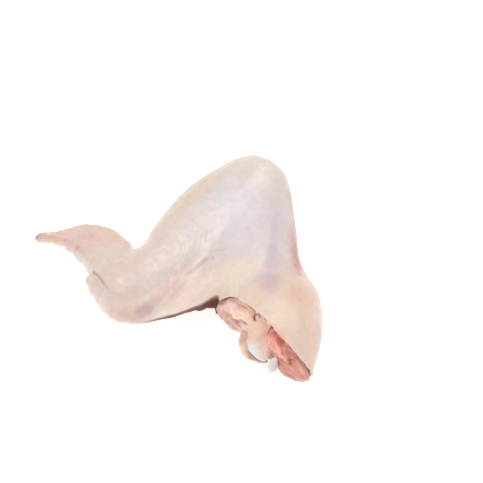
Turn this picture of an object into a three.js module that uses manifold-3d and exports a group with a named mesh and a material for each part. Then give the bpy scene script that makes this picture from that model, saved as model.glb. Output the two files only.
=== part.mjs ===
// A raw whole chicken wing, lying folded: upper arm, forearm, hand and thumb under one skin, with the web of
// skin that spans the inside of the elbow. It was cut from the bird through the shoulder joint, so the cut shows
// two muscles, the fat round the joint, the white head of the humerus and a scrap of cartilage.
//
// Millimetres, +Z up, the wing resting on Z = 0. The hand points to -X, the elbow to +Y and the cut faces -X -Y.
import * as THREE from 'three';
import { LoftGeometry } from 'three/addons/geometries/LoftGeometry.js';
import { mergeVertices } from 'three/addons/utils/BufferGeometryUtils.js';
import Module from 'manifold-3d';

const wasm = await Module();
wasm.setup();
const { lerp, smoothstep, clamp } = THREE.MathUtils;
const at = ( x, y, z = 0 ) => new THREE.Vector3( x, y, z );

// ---- driving sizes ----------------------------------------------------------------------------------------------

const SKIN = 1.8; // skin and the fat under it
const GAP = 0.3; // clearance between one tissue and the next
const WEB = 2.8; // thickness of the web of skin
const EDGE_ROUND = 11; // widest rounding of the outline

// The joints of the arm, seen from above.
const TIP = at( - 57, 18.4 );
const WRIST = at( - 24, - 6 );
const ELBOW = at( 28.5, 35 );
const SHOULDER = at( 39, - 30 );

// The outline seen from above, as pairs of points on the trailing and the leading edge of the wing.
const STATIONS = [
	{ place: 'finger tip', trailing: at( - 58.4, 20.2 ), leading: at( - 58.4, 19.4 ) },
	{ place: 'finger pad', trailing: at( - 56.4, 22 ), leading: at( - 56.8, 18.4 ) },
	{ place: 'finger', trailing: at( - 49.3, 22.4 ), leading: at( - 50.5, 17.2 ) },
	{ place: 'finger root', trailing: at( - 42, 24.6 ), leading: at( - 44.6, 13.9 ) },
	{ place: 'hand', trailing: at( - 34.2, 24.8 ), leading: at( - 40.2, 8.4 ) },
	{ place: 'palm', trailing: at( - 25.4, 20.6 ), leading: at( - 36.4, 1.6 ) },
	{ place: 'thumb tip', trailing: at( - 20.8, 15.4 ), leading: at( - 37.9, - 1.6 ) },
	{ place: 'wrist fold', trailing: at( - 17.8, 11.6 ), leading: at( - 34.9, - 9.6 ) },
	{ place: 'heel', trailing: at( - 14.8, 13.4 ), leading: at( - 27.6, - 18.7 ) },
	{ place: 'forearm root', trailing: at( - 11.1, 20 ), leading: at( - 15.8, - 22.5 ) },
	{ place: 'forearm', trailing: at( 0.7, 35.4 ), leading: at( - 3, - 20 ) },
	{ place: 'forearm end', trailing: at( 13.6, 45.4 ), leading: at( 6, - 15.9 ) },
	{ place: 'elbow', trailing: at( 29.4, 52 ), leading: at( 11.5, - 13.2 ) },
	{ place: 'elbow back', trailing: at( 41.5, 44.7 ), leading: at( 13.2, - 12.4 ) },
	{ place: 'upper arm', trailing: at( 46.1, 21.5 ), leading: at( 14, - 12.2 ) },
	{ place: 'upper arm end', trailing: at( 48.6, 1 ), leading: at( 14.6, - 12.2 ) },
	{ place: 'shoulder', trailing: at( 55.6, - 13.4 ), leading: at( 15, - 12.4 ) },
	{ place: 'shoulder bulge', trailing: at( 56.6, - 31 ), leading: at( 15.4, - 12.7 ) },
	{ place: 'cut', trailing: at( 52.8, - 48.6 ), leading: at( 15.8, - 13.2 ) },
];

// Where flesh lies under the skin: the crest's height, how high the lowest fibres are before the wing's own weight
// presses them flat, and the half width, each at the two ends of a straight axis.
const LIMBS = [
	{ name: 'hand', from: TIP, to: WRIST, crest: [ 5.6, 16 ], under: [ 0.4, 0.6 ], half: [ 7, 16 ] },
	{ name: 'ulna side', from: at( - 18, 2 ), to: ELBOW, crest: [ 15, 22.5 ], under: [ 0.6, 1.6 ], half: [ 14, 17 ] },
	{ name: 'radius side', from: at( - 21, - 9 ), to: at( 20, 20 ), crest: [ 14.5, 19 ], under: [ 0.6, 1.6 ], half: [ 11, 13 ] },
	{ name: 'crook', from: at( 6, 6 ), to: at( 32, 2 ), crest: [ 15, 23 ], under: [ 2.4, 2 ], half: [ 11, 15 ] },
	{ name: 'upper arm', from: at( 31, 33 ), to: SHOULDER, crest: [ 22, 29.5 ], under: [ 1.4, - 0.4 ], half: [ 18, 22 ] },
	{ name: 'front of the upper arm', from: at( 28, 2 ), to: at( 22, - 17 ), crest: [ 17, 20 ], under: [ 1.6, 0.4 ], half: [ 8, 9 ] },
];
const LIMB_BLEND = 4; // power of the mean that joins the limbs: higher keeps the valleys sharper

// Height of the middle of the web, from the finger tip to the shoulder.
const WEB_HEIGHT = [ 2.8, 13.6 ];
const WEB_SPAN = [ - 62, 22 ];

// Creases pressed into the upper side, with the share of the depth at either end.
const CREASES = [
	{ name: 'front of the forearm', from: at( - 18, - 14 ), to: at( 10, 4 ), depth: [ 1.3, 0.6 ], half: 2.6 },
	{ name: 'back of the upper arm', from: at( 38, 38 ), to: at( 41, 2 ), depth: [ 0.3, 0.9 ], half: 3 },
	{ name: 'fold of the wrist', from: at( - 17.5, 11 ), to: at( - 24, 3 ), depth: [ 1.6, 0.4 ], half: 2.4 },
	{ name: 'thumb', from: at( - 38, 2.6 ), to: at( - 29, - 6 ), depth: [ 4.2, 0.6 ], half: 1.5 },
];

// ---- the cut ----------------------------------------------------------------------------------------------------

// A place on the cut: s along it from the web, out of it, and its height.
const CUT_FROM = STATIONS.at( - 1 ).leading;
const CUT_TO = STATIONS.at( - 1 ).trailing;
const along = CUT_TO.clone().sub( CUT_FROM ).normalize();
const outward = at( along.y, - along.x );
const onCut = ( s, out, z ) => CUT_FROM.clone().addScaledVector( along, s ).addScaledVector( outward, out ).setZ( z );
const CUT_BOW = 1.5; // how far the middle of the skin's edge stands proud of the straight line
const CUT_REACH = 12.5; // how far out of the skin the tissues could swell
const DOME = [ 0.2, 0.42, 0.66, 0.92, 1.2, 1.44 ]; // steps of that swelling, as angles from the skin to its top

const HEAD = { centre: onCut( 26.6, 4.5, 9.2 ), radius: 5.2 };
const SHAFT = { radius: 3.4, knuckle: 5.5, length: 58 };

// The tissues run from a root inside the upper arm to their middle on the cut and swell out of it.
const TISSUES = {
	muscle_outer: { root: at( 38, 16, 13 ), cut: [ 39.5, 5.5 ], half: 17, height: 24, bulge: 6.6 },
	muscle_inner: { root: at( 27, 10, 11 ), cut: [ 6.6, 9 ], half: 15, height: 16, bulge: 3.8 },
	joint_fat: { root: at( 31, 0, 12 ), cut: [ 20.8, 5.2 ], half: 7.8, height: 24.5, bulge: 8.2 },
};
const SQUARE = 0.74; // power that squares off the slices of a tissue: 1 keeps them elliptical
const SCRAP = {
	from: onCut( 34.2, 4.6, 11 ), to: onCut( 35.6, 8.4, 4 ),
	half: 1.9, height: 1.5, tip: 0.4, root: 0.4, swell: 0.4,
};

// ---- shapes -----------------------------------------------------------------------------------------------------

const RING = 36; // points round the wing
const ROWS = 62; // rings along it

const trailing = new THREE.CatmullRomCurve3( STATIONS.map( ( s ) => s.trailing ) );
const leading = new THREE.CatmullRomCurve3( STATIONS.map( ( s ) => s.leading ) );
const OUTLINE = [
	...Array.from( { length: 240 }, ( _, i ) => trailing.getPoint( 1 - i / 240 ) ),
	...Array.from( { length: 241 }, ( _, i ) => leading.getPoint( i / 240 ) ),
];

// Distance from p to the outline. The cut is not part of it.
function toOutline( p ) {

	let nearest = Infinity;
	for ( let i = 1; i < OUTLINE.length; i ++ ) {

		const a = OUTLINE[ i - 1 ], b = OUTLINE[ i ];
		const dx = b.x - a.x, dy = b.y - a.y;
		const share = clamp( ( ( p.x - a.x ) * dx + ( p.y - a.y ) * dy ) / ( dx * dx + dy * dy + 1e-12 ), 0, 1 );
		nearest = Math.min( nearest, ( p.x - a.x - share * dx ) ** 2 + ( p.y - a.y - share * dy ) ** 2 );

	}

	return Math.sqrt( nearest );

}

// How near p is to an axis: the distance across it and the share of the way along.
function nearTo( { from, to }, p ) {

	const dx = to.x - from.x, dy = to.y - from.y;
	const share = clamp( ( ( p.x - from.x ) * dx + ( p.y - from.y ) * dy ) / ( dx * dx + dy * dy ), 0, 1 );
	return { share, far: Math.hypot( p.x - from.x - share * dx, p.y - from.y - share * dy ) };

}

// Heights of the upper and the lower side over a place p, before the outline is rounded.
function sides( p ) {

	const web = lerp( ...WEB_HEIGHT, smoothstep( p.x, ...WEB_SPAN ) );
	let raised = 0, hung = 0;
	for ( const limb of LIMBS ) {

		const { share, far } = nearTo( limb, p );
		const bell = Math.exp( - ( ( far / lerp( ...limb.half, share ) ) ** 2 ) );
		raised += Math.max( 0, ( lerp( ...limb.crest, share ) - web ) * bell ) ** LIMB_BLEND;
		hung += ( ( web - lerp( ...limb.under, share ) ) * bell ) ** LIMB_BLEND;

	}

	let pressed = 0;
	for ( const crease of CREASES ) {

		const { share, far } = nearTo( crease, p );
		pressed += lerp( ...crease.depth, share ) * Math.exp( - ( ( far / crease.half ) ** 2 ) );

	}

	return {
		top: web + WEB / 2 + raised ** ( 1 / LIMB_BLEND ) - pressed,
		bottom: web - WEB / 2 - hung ** ( 1 / LIMB_BLEND ),
	};

}

// One ring of the wing's surface, at a share t of the way through the stations, taken in by inset.
function ring( t, inset, points ) {

	const back = trailing.getPoint( t );
	const front = leading.getPoint( t );
	const chord = front.clone().sub( back );
	const trim = inset / chord.length();
	const bow = CUT_BOW * smoothstep( t, 0.7, 1 );
	return Array.from( { length: points }, ( _, j ) => {

		const angle = 2 * Math.PI * j / points;
		const across = ( 1 - Math.cos( angle ) ) / 2;
		const p = back.clone().addScaledVector( chord, lerp( trim, 1 - trim, across ) );
		p.addScaledVector( outward, bow * 4 * across * ( 1 - across ) );
		const { top, bottom } = sides( p );
		const half = Math.max( 0.4, ( top - bottom ) / 2 - inset );
		const inwards = clamp( ( toOutline( p ) - inset ) / clamp( half * 1.1, 1.2, EDGE_ROUND ), 0, 1 );
		const lift = Math.sin( angle );
		const rise = Math.max( 0.3 * Math.abs( lift ), half * Math.sqrt( 1 - ( 1 - inwards ) ** 2 ) );
		return p.setZ( Math.max( inset, ( top + bottom ) / 2 + ( lift >= - 1e-9 ? rise : - rise ) ) );

	} );

}

// The wing's outer surface as rings from the finger tip to the cut, spaced evenly over the skin.
function wingRings( inset, rows, points, from = 0 ) {

	const fine = Array.from( { length: 401 }, ( _, i ) => lerp( from, 1, i / 400 ) );
	const travelled = [ 0 ];
	for ( let i = 1; i < fine.length; i ++ ) {

		const step = ( curve ) => curve.getPoint( fine[ i ] ).distanceTo( curve.getPoint( fine[ i - 1 ] ) );
		travelled.push( travelled[ i - 1 ] + step( trailing ) + step( leading ) );

	}

	return Array.from( { length: rows }, ( _, k ) => {

		const closer = from > 0 ? 0 : 0.012 * Math.sin( Math.min( Math.PI, 24 * k / rows ) ); // at the finger tip
		const eased = k / ( rows - 1 ) - closer;
		const goal = travelled.at( - 1 ) * eased;
		const i = Math.max( 1, travelled.findIndex( ( d ) => d >= goal - 1e-9 ) );
		const share = ( goal - travelled[ i - 1 ] ) / ( travelled[ i ] - travelled[ i - 1 ] );
		return ring( lerp( fine[ i - 1 ], fine[ i ], clamp( share, 0, 1 ) ), inset, points );

	} );

}

// A closed geometry as a solid, turned the right way out.
function solid( geometry ) {

	const bare = new THREE.BufferGeometry().setAttribute( 'position', geometry.getAttribute( 'position' ) );
	bare.setIndex( geometry.index );
	const merged = mergeVertices( bare, 1e-3 );
	const corners = merged.index.array;
	const triVerts = [];
	for ( let i = 0; i < corners.length; i += 3 ) {

		const [ a, b, c ] = corners.slice( i, i + 3 );
		if ( a !== b && b !== c && c !== a ) triVerts.push( a, b, c );

	}

	const make = ( order ) => new wasm.Manifold( new wasm.Mesh( {
		numProp: 3,
		vertProperties: merged.attributes.position.array,
		triVerts: new Uint32Array( order ),
	} ) );
	const made = make( triVerts );
	return made.volume() > 0 ? made : make( triVerts.reverse() );

}

// The largest piece of a solid, without crumbs.
const whole = ( made ) => made.decompose().reduce( ( a, b ) => a.volume() > b.volume() ? a : b );

const loft = ( rings ) => solid( new LoftGeometry( rings, { capStart: true, capEnd: true } ) );

// A fleshy lobe: an elliptical body along an axis, whose girth swells as a power of a half circle.
function lobe( { from, to, half, height, tip, root, swell }, grow = 0, rows = 8, points = 12 ) {

	const axis = to.clone().sub( from );
	const side = at( - axis.y, axis.x ).normalize();
	const lift = axis.clone().cross( side ).normalize();
	return loft( Array.from( { length: rows }, ( _, k ) => {

		const share = ( 1 - Math.cos( Math.PI * k / ( rows - 1 ) ) ) / 2;
		const ends = share < 0.5 ? root : tip;
		const girth = Math.max( ends, ( 4 * share * ( 1 - share ) ) ** swell );
		const reach = share + grow / axis.length() * ( 2 * share - 1 );
		return Array.from( { length: points }, ( _, j ) => {

			const angle = 2 * Math.PI * j / points;
			return from.clone().addScaledVector( axis, reach )
				.addScaledVector( side, ( half * girth + grow ) * Math.cos( angle ) )
				.addScaledVector( lift, ( height * girth + grow ) * Math.sin( angle ) );

		} );

	} ) );

}

const squared = ( v ) => Math.sign( v ) * Math.abs( v ) ** SQUARE;

// A muscle or a band of fat, in slices parallel to the cut: it widens from its root and ends in a dome.
function tissue( { root, cut: [ s, z ], half, height, bulge }, grow = 0, rows = 14, points = 20 ) {

	const face = onCut( s, 0, z );
	const way = face.clone().sub( root );
	const start = root.clone().addScaledVector( way, - grow / way.length() );
	return loft( Array.from( { length: rows }, ( _, k ) => {

		const inside = clamp( k / ( rows / 2 ), 0, 1 );
		const dome = Math.PI / 2 * clamp( ( k - rows / 2 ) / ( rows / 2 - 1 ), 0, 1 );
		const girth = dome > 0 ? Math.max( 0.06, Math.cos( dome ) ) : Math.max( 0.25, Math.sin( inside * Math.PI / 2 ) ** 0.6 );
		const middle = start.clone().lerp( face, inside ).addScaledVector( outward, ( bulge + grow ) * Math.sin( dome ) );
		return Array.from( { length: points }, ( _, j ) => {

			const angle = 2 * Math.PI * j / points;
			return middle.clone().addScaledVector( along, ( half * girth + grow ) * squared( Math.cos( angle ) ) )
				.add( at( 0, 0, ( height * girth + grow ) * squared( Math.sin( angle ) ) ) );

		} );

	} ) );

}

// The humerus: a shaft turned about its own axis, with a round head at the cut and a knuckle at the elbow.
function humerus( grow = 0 ) {

	const { radius, knuckle, length } = SHAFT;
	const neck = Math.sqrt( HEAD.radius ** 2 - radius ** 2 );
	const turn = ( count, step ) => Array.from( { length: count }, ( _, i ) => step( i / ( count - 1 ) ) );
	const profile = [
		...turn( 9, ( f ) => {

			const angle = lerp( 0, Math.acos( - neck / HEAD.radius ), f );
			return new THREE.Vector2( ( HEAD.radius + grow ) * Math.sin( angle ), - ( HEAD.radius + grow ) * Math.cos( angle ) );

		} ),
		new THREE.Vector2( radius + grow, length * 0.35 ),
		new THREE.Vector2( radius + grow, length * 0.7 ),
		...turn( 6, ( f ) => {

			const angle = lerp( 0.7, Math.PI, f );
			return new THREE.Vector2( ( knuckle + grow ) * Math.sin( angle ), length - ( knuckle + grow ) * Math.cos( angle ) );

		} ),
	];
	profile[ 0 ].x = profile.at( - 1 ).x = 0;
	const geometry = new THREE.LatheGeometry( profile, 16 );
	const axis = ELBOW.clone().setZ( 12 ).sub( HEAD.centre ).normalize();
	geometry.applyQuaternion( new THREE.Quaternion().setFromUnitVectors( at( 0, 1, 0 ), axis ) );
	geometry.translate( ...HEAD.centre.toArray() );
	return solid( geometry );

}

function mesh( name, made, color, roughness ) {

	const { numProp, vertProperties, triVerts } = made.getMesh();
	const points = new Float32Array( vertProperties.length / numProp * 3 );
	for ( let i = 0; i < points.length / 3; i ++ ) {

		points.set( vertProperties.subarray( i * numProp, i * numProp + 3 ), i * 3 );

	}

	const geometry = new THREE.BufferGeometry().setAttribute( 'position', new THREE.BufferAttribute( points, 3 ) );
	geometry.setIndex( new THREE.BufferAttribute( triVerts, 1 ) );
	geometry.computeVertexNormals();
	const made3 = new THREE.Mesh( geometry, new THREE.MeshStandardMaterial( { color, roughness, metalness: 0 } ) );
	made3.name = name;
	return made3;

}

const wing = new THREE.Group();
const body = loft( wingRings( 0, ROWS, RING ) );

// Everything under the skin of the upper arm, carried on past the cut as a dome.
function core( inset ) {

	const rings = wingRings( inset, 24, RING, 0.6 );
	const last = rings.at( - 1 );
	const middle = last.reduce( ( sum, p ) => sum.add( p ), at( 0, 0 ) ).divideScalar( RING );
	const dome = DOME.map( ( angle ) => last.map( ( p ) =>
		middle.clone().lerp( p, Math.cos( angle ) ** 0.8 ).addScaledVector( outward, CUT_REACH * Math.sin( angle ) ) ) );
	return loft( [ ...rings, ...dome ] );

}

const under = core( SKIN );
const clear = core( SKIN - GAP );
const bone = humerus(), boneClear = humerus( GAP );
const scrap = lobe( SCRAP ).subtract( boneClear ), scrapClear = lobe( SCRAP, GAP );
const grown = ( name, grow ) => tissue( TISSUES[ name ], grow );
const fat = grown( 'joint_fat', 0 ).intersect( under ).subtract( boneClear ).subtract( scrapClear );
const fatClear = grown( 'joint_fat', GAP );
const outer = grown( 'muscle_outer', 0 ).intersect( under )
	.subtract( fatClear ).subtract( boneClear ).subtract( scrapClear );
const outerClear = grown( 'muscle_outer', GAP );
const inner = grown( 'muscle_inner', 0 ).intersect( under )
	.subtract( fatClear ).subtract( boneClear ).subtract( outerClear );
const pocket = wasm.Manifold.union( [ fatClear, outerClear, grown( 'muscle_inner', GAP ) ] ).intersect( clear );
const skin = body.subtract( whole( wasm.Manifold.union( [ pocket, boneClear, scrapClear ] ) ) );

// The middle of the finished wing's footprint becomes the origin.
const box = wasm.Manifold.union( [ skin, outer, inner, fat, bone, scrap ] ).boundingBox();
const shift = [ - ( box.min[ 0 ] + box.max[ 0 ] ) / 2, - ( box.min[ 1 ] + box.max[ 1 ] ) / 2, 0 ];

const TOLERANCE = 0.03; // faces flatter than this are joined

// Each part with its colour and roughness.
const parts = [
	[ 'skin', skin, 0xe6d5c8, 0.5 ],
	[ 'muscle_outer', outer, 0xcf8478, 0.4 ],
	[ 'muscle_inner', inner, 0xe2b3a6, 0.4 ],
	[ 'joint_fat', fat, 0xead2ae, 0.45 ],
	[ 'humerus', bone, 0xdfe0ea, 0.3 ],
	[ 'cartilage_scrap', scrap, 0xeae8ee, 0.3 ],
];
for ( const [ name, made, color, roughness ] of parts ) {

	wing.add( mesh( name, whole( made ).simplify( TOLERANCE ).translate( shift ), color, roughness ) );

}

export default wing;
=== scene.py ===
import bpy
import numpy as np
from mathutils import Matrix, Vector


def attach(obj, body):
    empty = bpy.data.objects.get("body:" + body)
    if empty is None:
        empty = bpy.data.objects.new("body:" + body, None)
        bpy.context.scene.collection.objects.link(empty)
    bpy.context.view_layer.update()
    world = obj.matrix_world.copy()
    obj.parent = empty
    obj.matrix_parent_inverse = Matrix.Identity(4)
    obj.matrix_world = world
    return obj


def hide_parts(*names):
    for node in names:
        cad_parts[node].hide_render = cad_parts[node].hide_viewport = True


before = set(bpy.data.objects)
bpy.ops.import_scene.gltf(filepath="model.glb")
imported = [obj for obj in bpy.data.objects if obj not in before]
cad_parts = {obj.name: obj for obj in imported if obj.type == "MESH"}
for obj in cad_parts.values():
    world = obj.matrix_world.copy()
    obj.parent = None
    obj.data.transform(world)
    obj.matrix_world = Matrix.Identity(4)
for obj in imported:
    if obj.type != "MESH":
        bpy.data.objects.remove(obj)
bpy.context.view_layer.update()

# ---- Skin ----------------------------------------------------------------------------------------
# Raw skin with the flesh under it, one piece from the finger to the shoulder. It stretches as a thin web
# across the inside of the elbow, is pressed flat where the wing rests on it, and ends in a thin wet lip
# round the cut.

MIDDLE = np.array([0.7772, -1.0327, 0.0])  # from the joints' frame to the model's, mm
SKIN = 1.8
WEB = 2.8
EDGE_ROUND = 11.0
CUT_BOW = 1.5

# The outline from above in mm: trailing x, y and leading x, y, from the finger tip to the cut.
STATIONS = np.array([
    (-58.4, 20.2, -58.4, 19.4),  # finger tip
    (-56.4, 22.0, -56.8, 18.4),  # finger pad
    (-49.3, 22.4, -50.5, 17.2),  # finger
    (-42.0, 24.6, -44.6, 13.9),  # finger root
    (-34.2, 24.8, -40.2, 8.4),  # hand
    (-25.4, 20.6, -36.4, 1.6),  # palm
    (-20.8, 15.4, -37.9, -1.6),  # thumb tip
    (-17.8, 11.6, -34.9, -9.6),  # wrist fold
    (-14.8, 13.4, -27.6, -18.7),  # heel
    (-11.1, 20.0, -15.8, -22.5),  # forearm root
    (0.7, 35.4, -3.0, -20.0),  # forearm
    (13.6, 45.4, 6.0, -15.9),  # forearm end
    (29.4, 52.0, 11.5, -13.2),  # elbow
    (41.5, 44.7, 13.2, -12.4),  # elbow back
    (46.1, 21.5, 14.0, -12.2),  # upper arm
    (48.6, 1.0, 14.6, -12.2),  # upper arm end
    (55.6, -13.4, 15.0, -12.4),  # shoulder
    (56.6, -31.0, 15.4, -12.7),  # shoulder bulge
    (52.8, -48.6, 15.8, -13.2),  # cut
])

# Flesh under the skin: from, to, crest heights, how far the free underside would hang, half widths.
LIMBS = [
    ((-57, 18.4), (-24, -6), (5.6, 16), (0.4, 0.6), (7, 16)),  # hand
    ((-18, 2), (28.5, 35), (15, 22.5), (0.6, 1.6), (14, 17)),  # ulna side of the forearm
    ((-21, -9), (20, 20), (14.5, 19), (0.6, 1.6), (11, 13)),  # radius side of the forearm
    ((6, 6), (32, 2), (15, 23), (2.4, 2.0), (11, 15)),  # crook of the elbow
    ((31, 33), (39, -30), (22, 29.5), (1.4, -0.4), (18, 22)),  # upper arm
    ((28, 2), (22, -17), (17, 20), (1.6, 0.4), (8, 9)),  # front of the upper arm
]

# Creases in the upper side: from, to, depths at the two ends, half width.
CREASES = [
    ((-18, -14), (10, 4), (0.7, 0.5), 2.6),  # front of the forearm
    ((38, 38), (41, 2), (0.3, 0.9), 3.0),  # back of the upper arm
    ((-17.5, 11), (-24, 3), (1.6, 0.4), 2.4),  # fold of the wrist
    ((-38, 2.6), (-29, -6), (4.2, 0.6), 1.5),  # thumb
]

cut_from = np.array([*STATIONS[-1, 2:], 0.0])
cut_to = np.array([*STATIONS[-1, :2], 0.0])
along = (cut_to - cut_from) / np.linalg.norm(cut_to - cut_from)
outward = np.array([along[1], -along[0], 0.0])


def ease(x, low, high):
    """Smooth step: 0 below low, 1 above high, 3t^2 - 2t^3 between."""
    t = np.clip((x - low) / (high - low), 0, 1)
    return t * t * (3 - 2 * t)


def through(points, t):
    """Centripetal Catmull-Rom path: between two points a cubic, whose end slopes weigh the chords on either
    side by the square roots of their lengths."""
    p = np.vstack([2 * points[0] - points[1], points, 2 * points[-1] - points[-2]])
    s = np.clip(t, 0, 1) * (len(points) - 1)
    i = np.minimum(s.astype(int), len(points) - 2)
    w = (s - i)[:, None]
    a, b, c, d = p[i], p[i + 1], p[i + 2], p[i + 3]
    chords = ((b, a), (c, b), (d, c))
    e0, e1, e2 = (np.maximum(np.linalg.norm(q - r, axis=1), 1e-4)[:, None] ** 0.5 for q, r in chords)
    g = ((b - a) / e0 - (c - a) / (e0 + e1) + (c - b) / e1) * e1
    h = ((c - b) / e1 - (d - b) / (e1 + e2) + (d - c) / e2) * e1
    return b + w * (g + w * (3 * (c - b) - 2 * g - h + w * (2 * (b - c) + g + h)))


def noise(p, size, seed):
    """Value noise from -1 to 1: random numbers on a cubic lattice of the given size in mm, joined by a
    smooth step along each axis."""
    table = np.random.default_rng(seed).uniform(-1, 1, (32, 32, 32))
    q = np.asarray(p, float) / size + 500.0
    i = np.floor(q).astype(int)
    f = q - i
    f = f * f * (3 - 2 * f)
    total = 0.0
    for corner in np.ndindex(2, 2, 2):
        at = (i + corner) % 32
        weight = np.abs(1 - np.array(corner) - f).prod(axis=-1)
        total = total + weight * table[at[..., 0], at[..., 1], at[..., 2]]
    return total


def drift(p, size, seed):
    """Two noises, a shift along both axes of a plane."""
    return np.stack([noise(p, size, seed), noise(p, size, seed + 1)], axis=-1)


def bell(distance, half, power=2):
    """Gaussian bell: 1 in the middle, 1/e at the half width. A higher power gives it a flat top."""
    return np.exp(-((distance / half) ** power))


def beside(xy, start, end):
    """Share of the way along a straight axis, held to 0 and 1, and the distance from it."""
    start, end = np.asarray(start, float), np.asarray(end, float)
    line = end - start
    share = np.clip(((xy - start) @ line) / (line @ line), 0, 1)
    return share, np.linalg.norm(xy - start - share[..., None] * line, axis=-1)


def near_line(xy, start, end, half, power=2):
    """Gaussian bell of the distance from a straight axis."""
    return bell(beside(xy, start, end)[1], half, power)


def skin_sides(xy):
    """Heights of the upper and the lower side before the outline is rounded: the web's height, plus for
    each limb a Gaussian bell across its axis, joined by a mean of the fourth power, less a Gaussian groove
    for each crease."""
    web = 2.8 + 10.8 * ease(xy[..., 0], -62, 22)
    raised = hung = pressed = 0.0
    for start, end, crest, under, half in LIMBS:
        share, far = beside(xy, start, end)
        swell = bell(far, half[0] + (half[1] - half[0]) * share)
        raised = raised + np.maximum(0, (crest[0] + (crest[1] - crest[0]) * share - web) * swell) ** 4
        hung = hung + ((web - under[0] - (under[1] - under[0]) * share) * swell) ** 4
    for start, end, depth, half in CREASES:
        share, far = beside(xy, start, end)
        pressed = pressed + (depth[0] + (depth[1] - depth[0]) * share) * bell(far, half)
    return web + WEB / 2 + raised ** 0.25 - pressed, web - WEB / 2 - hung ** 0.25


way = np.linspace(0, 1, 241)
outline = np.vstack([through(STATIONS[:, :2], way[::-1]), through(STATIONS[:, 2:], way)])


def to_outline(xy):
    """Shortest distance to the outline's straight pieces, the cut left out."""
    a, b = outline[:-1], outline[1:]
    d = b - a
    flat = xy.reshape(-1, 2)
    best = np.full(len(flat), 1e9)
    for k in range(len(a)):
        share = np.clip(((flat - a[k]) @ d[k]) / (d[k] @ d[k] + 1e-12), 0, 1)
        best = np.minimum(best, ((flat - a[k] - share[:, None] * d[k]) ** 2).sum(1))
    return np.sqrt(best).reshape(xy.shape[:-1])


def skin_rings(t, inset, points):
    """Rings round the wing, one for each share t of the outline: across the chord from trailing to leading
    edge by a cosine, up and down by a quarter ellipse of the distance to the outline. inset takes the
    surface inwards."""
    back, front = through(STATIONS[:, :2], t), through(STATIONS[:, 2:], t)
    chord = front - back
    width = np.linalg.norm(chord, axis=1)[:, None]
    trim = inset / width
    angle = np.arange(points) * 2 * np.pi / points
    across = (1 - np.cos(angle)) / 2
    reach = trim + (1 - 2 * trim) * across
    xy = back[:, None] + chord[:, None] * reach[..., None]
    xy = xy + outward[:2] * (CUT_BOW * ease(t, 0.7, 1)[:, None] * 4 * across * (1 - across))[..., None]
    top, bottom = skin_sides(xy)
    half = np.maximum(0.4, (top - bottom) / 2 - inset)
    lift = np.sin(angle)
    # The outline's straight pieces lie just inside its curve, so a ring's own ends are set to lie on it.
    far = np.minimum(to_outline(xy) + 0.02, width * np.minimum(reach, 1 - reach))
    inwards = np.clip((far - inset) / np.clip(half * 1.1, 1.2, EDGE_ROUND), 0, 1)
    rise = half * np.sqrt(1 - (1 - inwards) ** 2)
    # The web is taut: its upper side slopes evenly down to a clear edge.
    taut = near_line(xy, (-11, -22.5), (16, -12.5), 9, 4) * (lift > 1e-9)
    rise = rise + taut * (half * (0.3 + 0.7 * ease(far, -5, 9)) - rise)
    rise = np.maximum(0.3 * np.abs(lift), rise) * np.where(lift >= -1e-9, 1, -1)
    z = np.maximum(inset, (top + bottom) / 2 + rise)
    return np.concatenate([xy, z[..., None]], axis=2)


def ring_normals(rings):
    """Outward normals of a grid of rings: the cross product of the steps round a ring and along the
    rings."""
    round_it = np.roll(rings, -1, axis=1) - np.roll(rings, 1, axis=1)
    along_it = np.gradient(rings, axis=0)
    n = np.cross(along_it, round_it)
    return n / np.maximum(np.linalg.norm(n, axis=2, keepdims=True), 1e-9)


def closed_mesh(name, rings, tints=None):
    """A closed mesh from rings of points in mm, with a pole in the middle of the first and the last ring.
    The colours, one for each point, are kept in the attribute 'tint'."""
    rows, cols = rings.shape[:2]
    points = np.vstack([rings.reshape(-1, 3), rings[0].mean(0), rings[-1].mean(0)])
    i, j = np.meshgrid(np.arange(rows - 1), np.arange(cols), indexing="ij")
    k = (j + 1) % cols
    quads = np.stack([i * cols + j, i * cols + k, (i + 1) * cols + k, (i + 1) * cols + j], axis=-1)
    quads = quads.reshape(-1, 4)
    j = np.arange(cols)
    k = (j + 1) % cols
    first = np.stack([np.full(cols, rows * cols), k, j], axis=1)
    last = np.stack([np.full(cols, rows * cols + 1), (rows - 1) * cols + j, (rows - 1) * cols + k], axis=1)
    mesh = bpy.data.meshes.new(name)
    faces = quads.tolist() + first.tolist() + last.tolist()
    mesh.from_pydata(((points + MIDDLE) * 0.001).tolist(), [], faces)
    mesh.update()
    a, b, c, d = (points[quads[:, n]] for n in range(4))
    volume = (a * (np.cross(b, c) + np.cross(c, d))).sum()
    if volume < 0:
        mesh.flip_normals()
    mesh.polygons.foreach_set("use_smooth", np.ones(len(mesh.polygons), bool))
    if tints is not None:
        colour = np.vstack([tints.reshape(-1, 3), tints[0].mean(0), tints[-1].mean(0)])
        layer = mesh.attributes.new("tint", "FLOAT_COLOR", "POINT")
        colour = np.column_stack([colour, np.ones(len(colour))]).astype(np.float32)
        layer.data.foreach_set("color", colour.ravel())
    piece = bpy.data.objects.new(name, mesh)
    bpy.context.scene.collection.objects.link(piece)
    return piece


def rgb(*values):
    """A display colour from 0 to 255 as linear light."""
    v = np.array(values) / 255
    return np.where(v <= 0.04045, v / 12.92, ((v + 0.055) / 1.055) ** 2.4)


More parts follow.
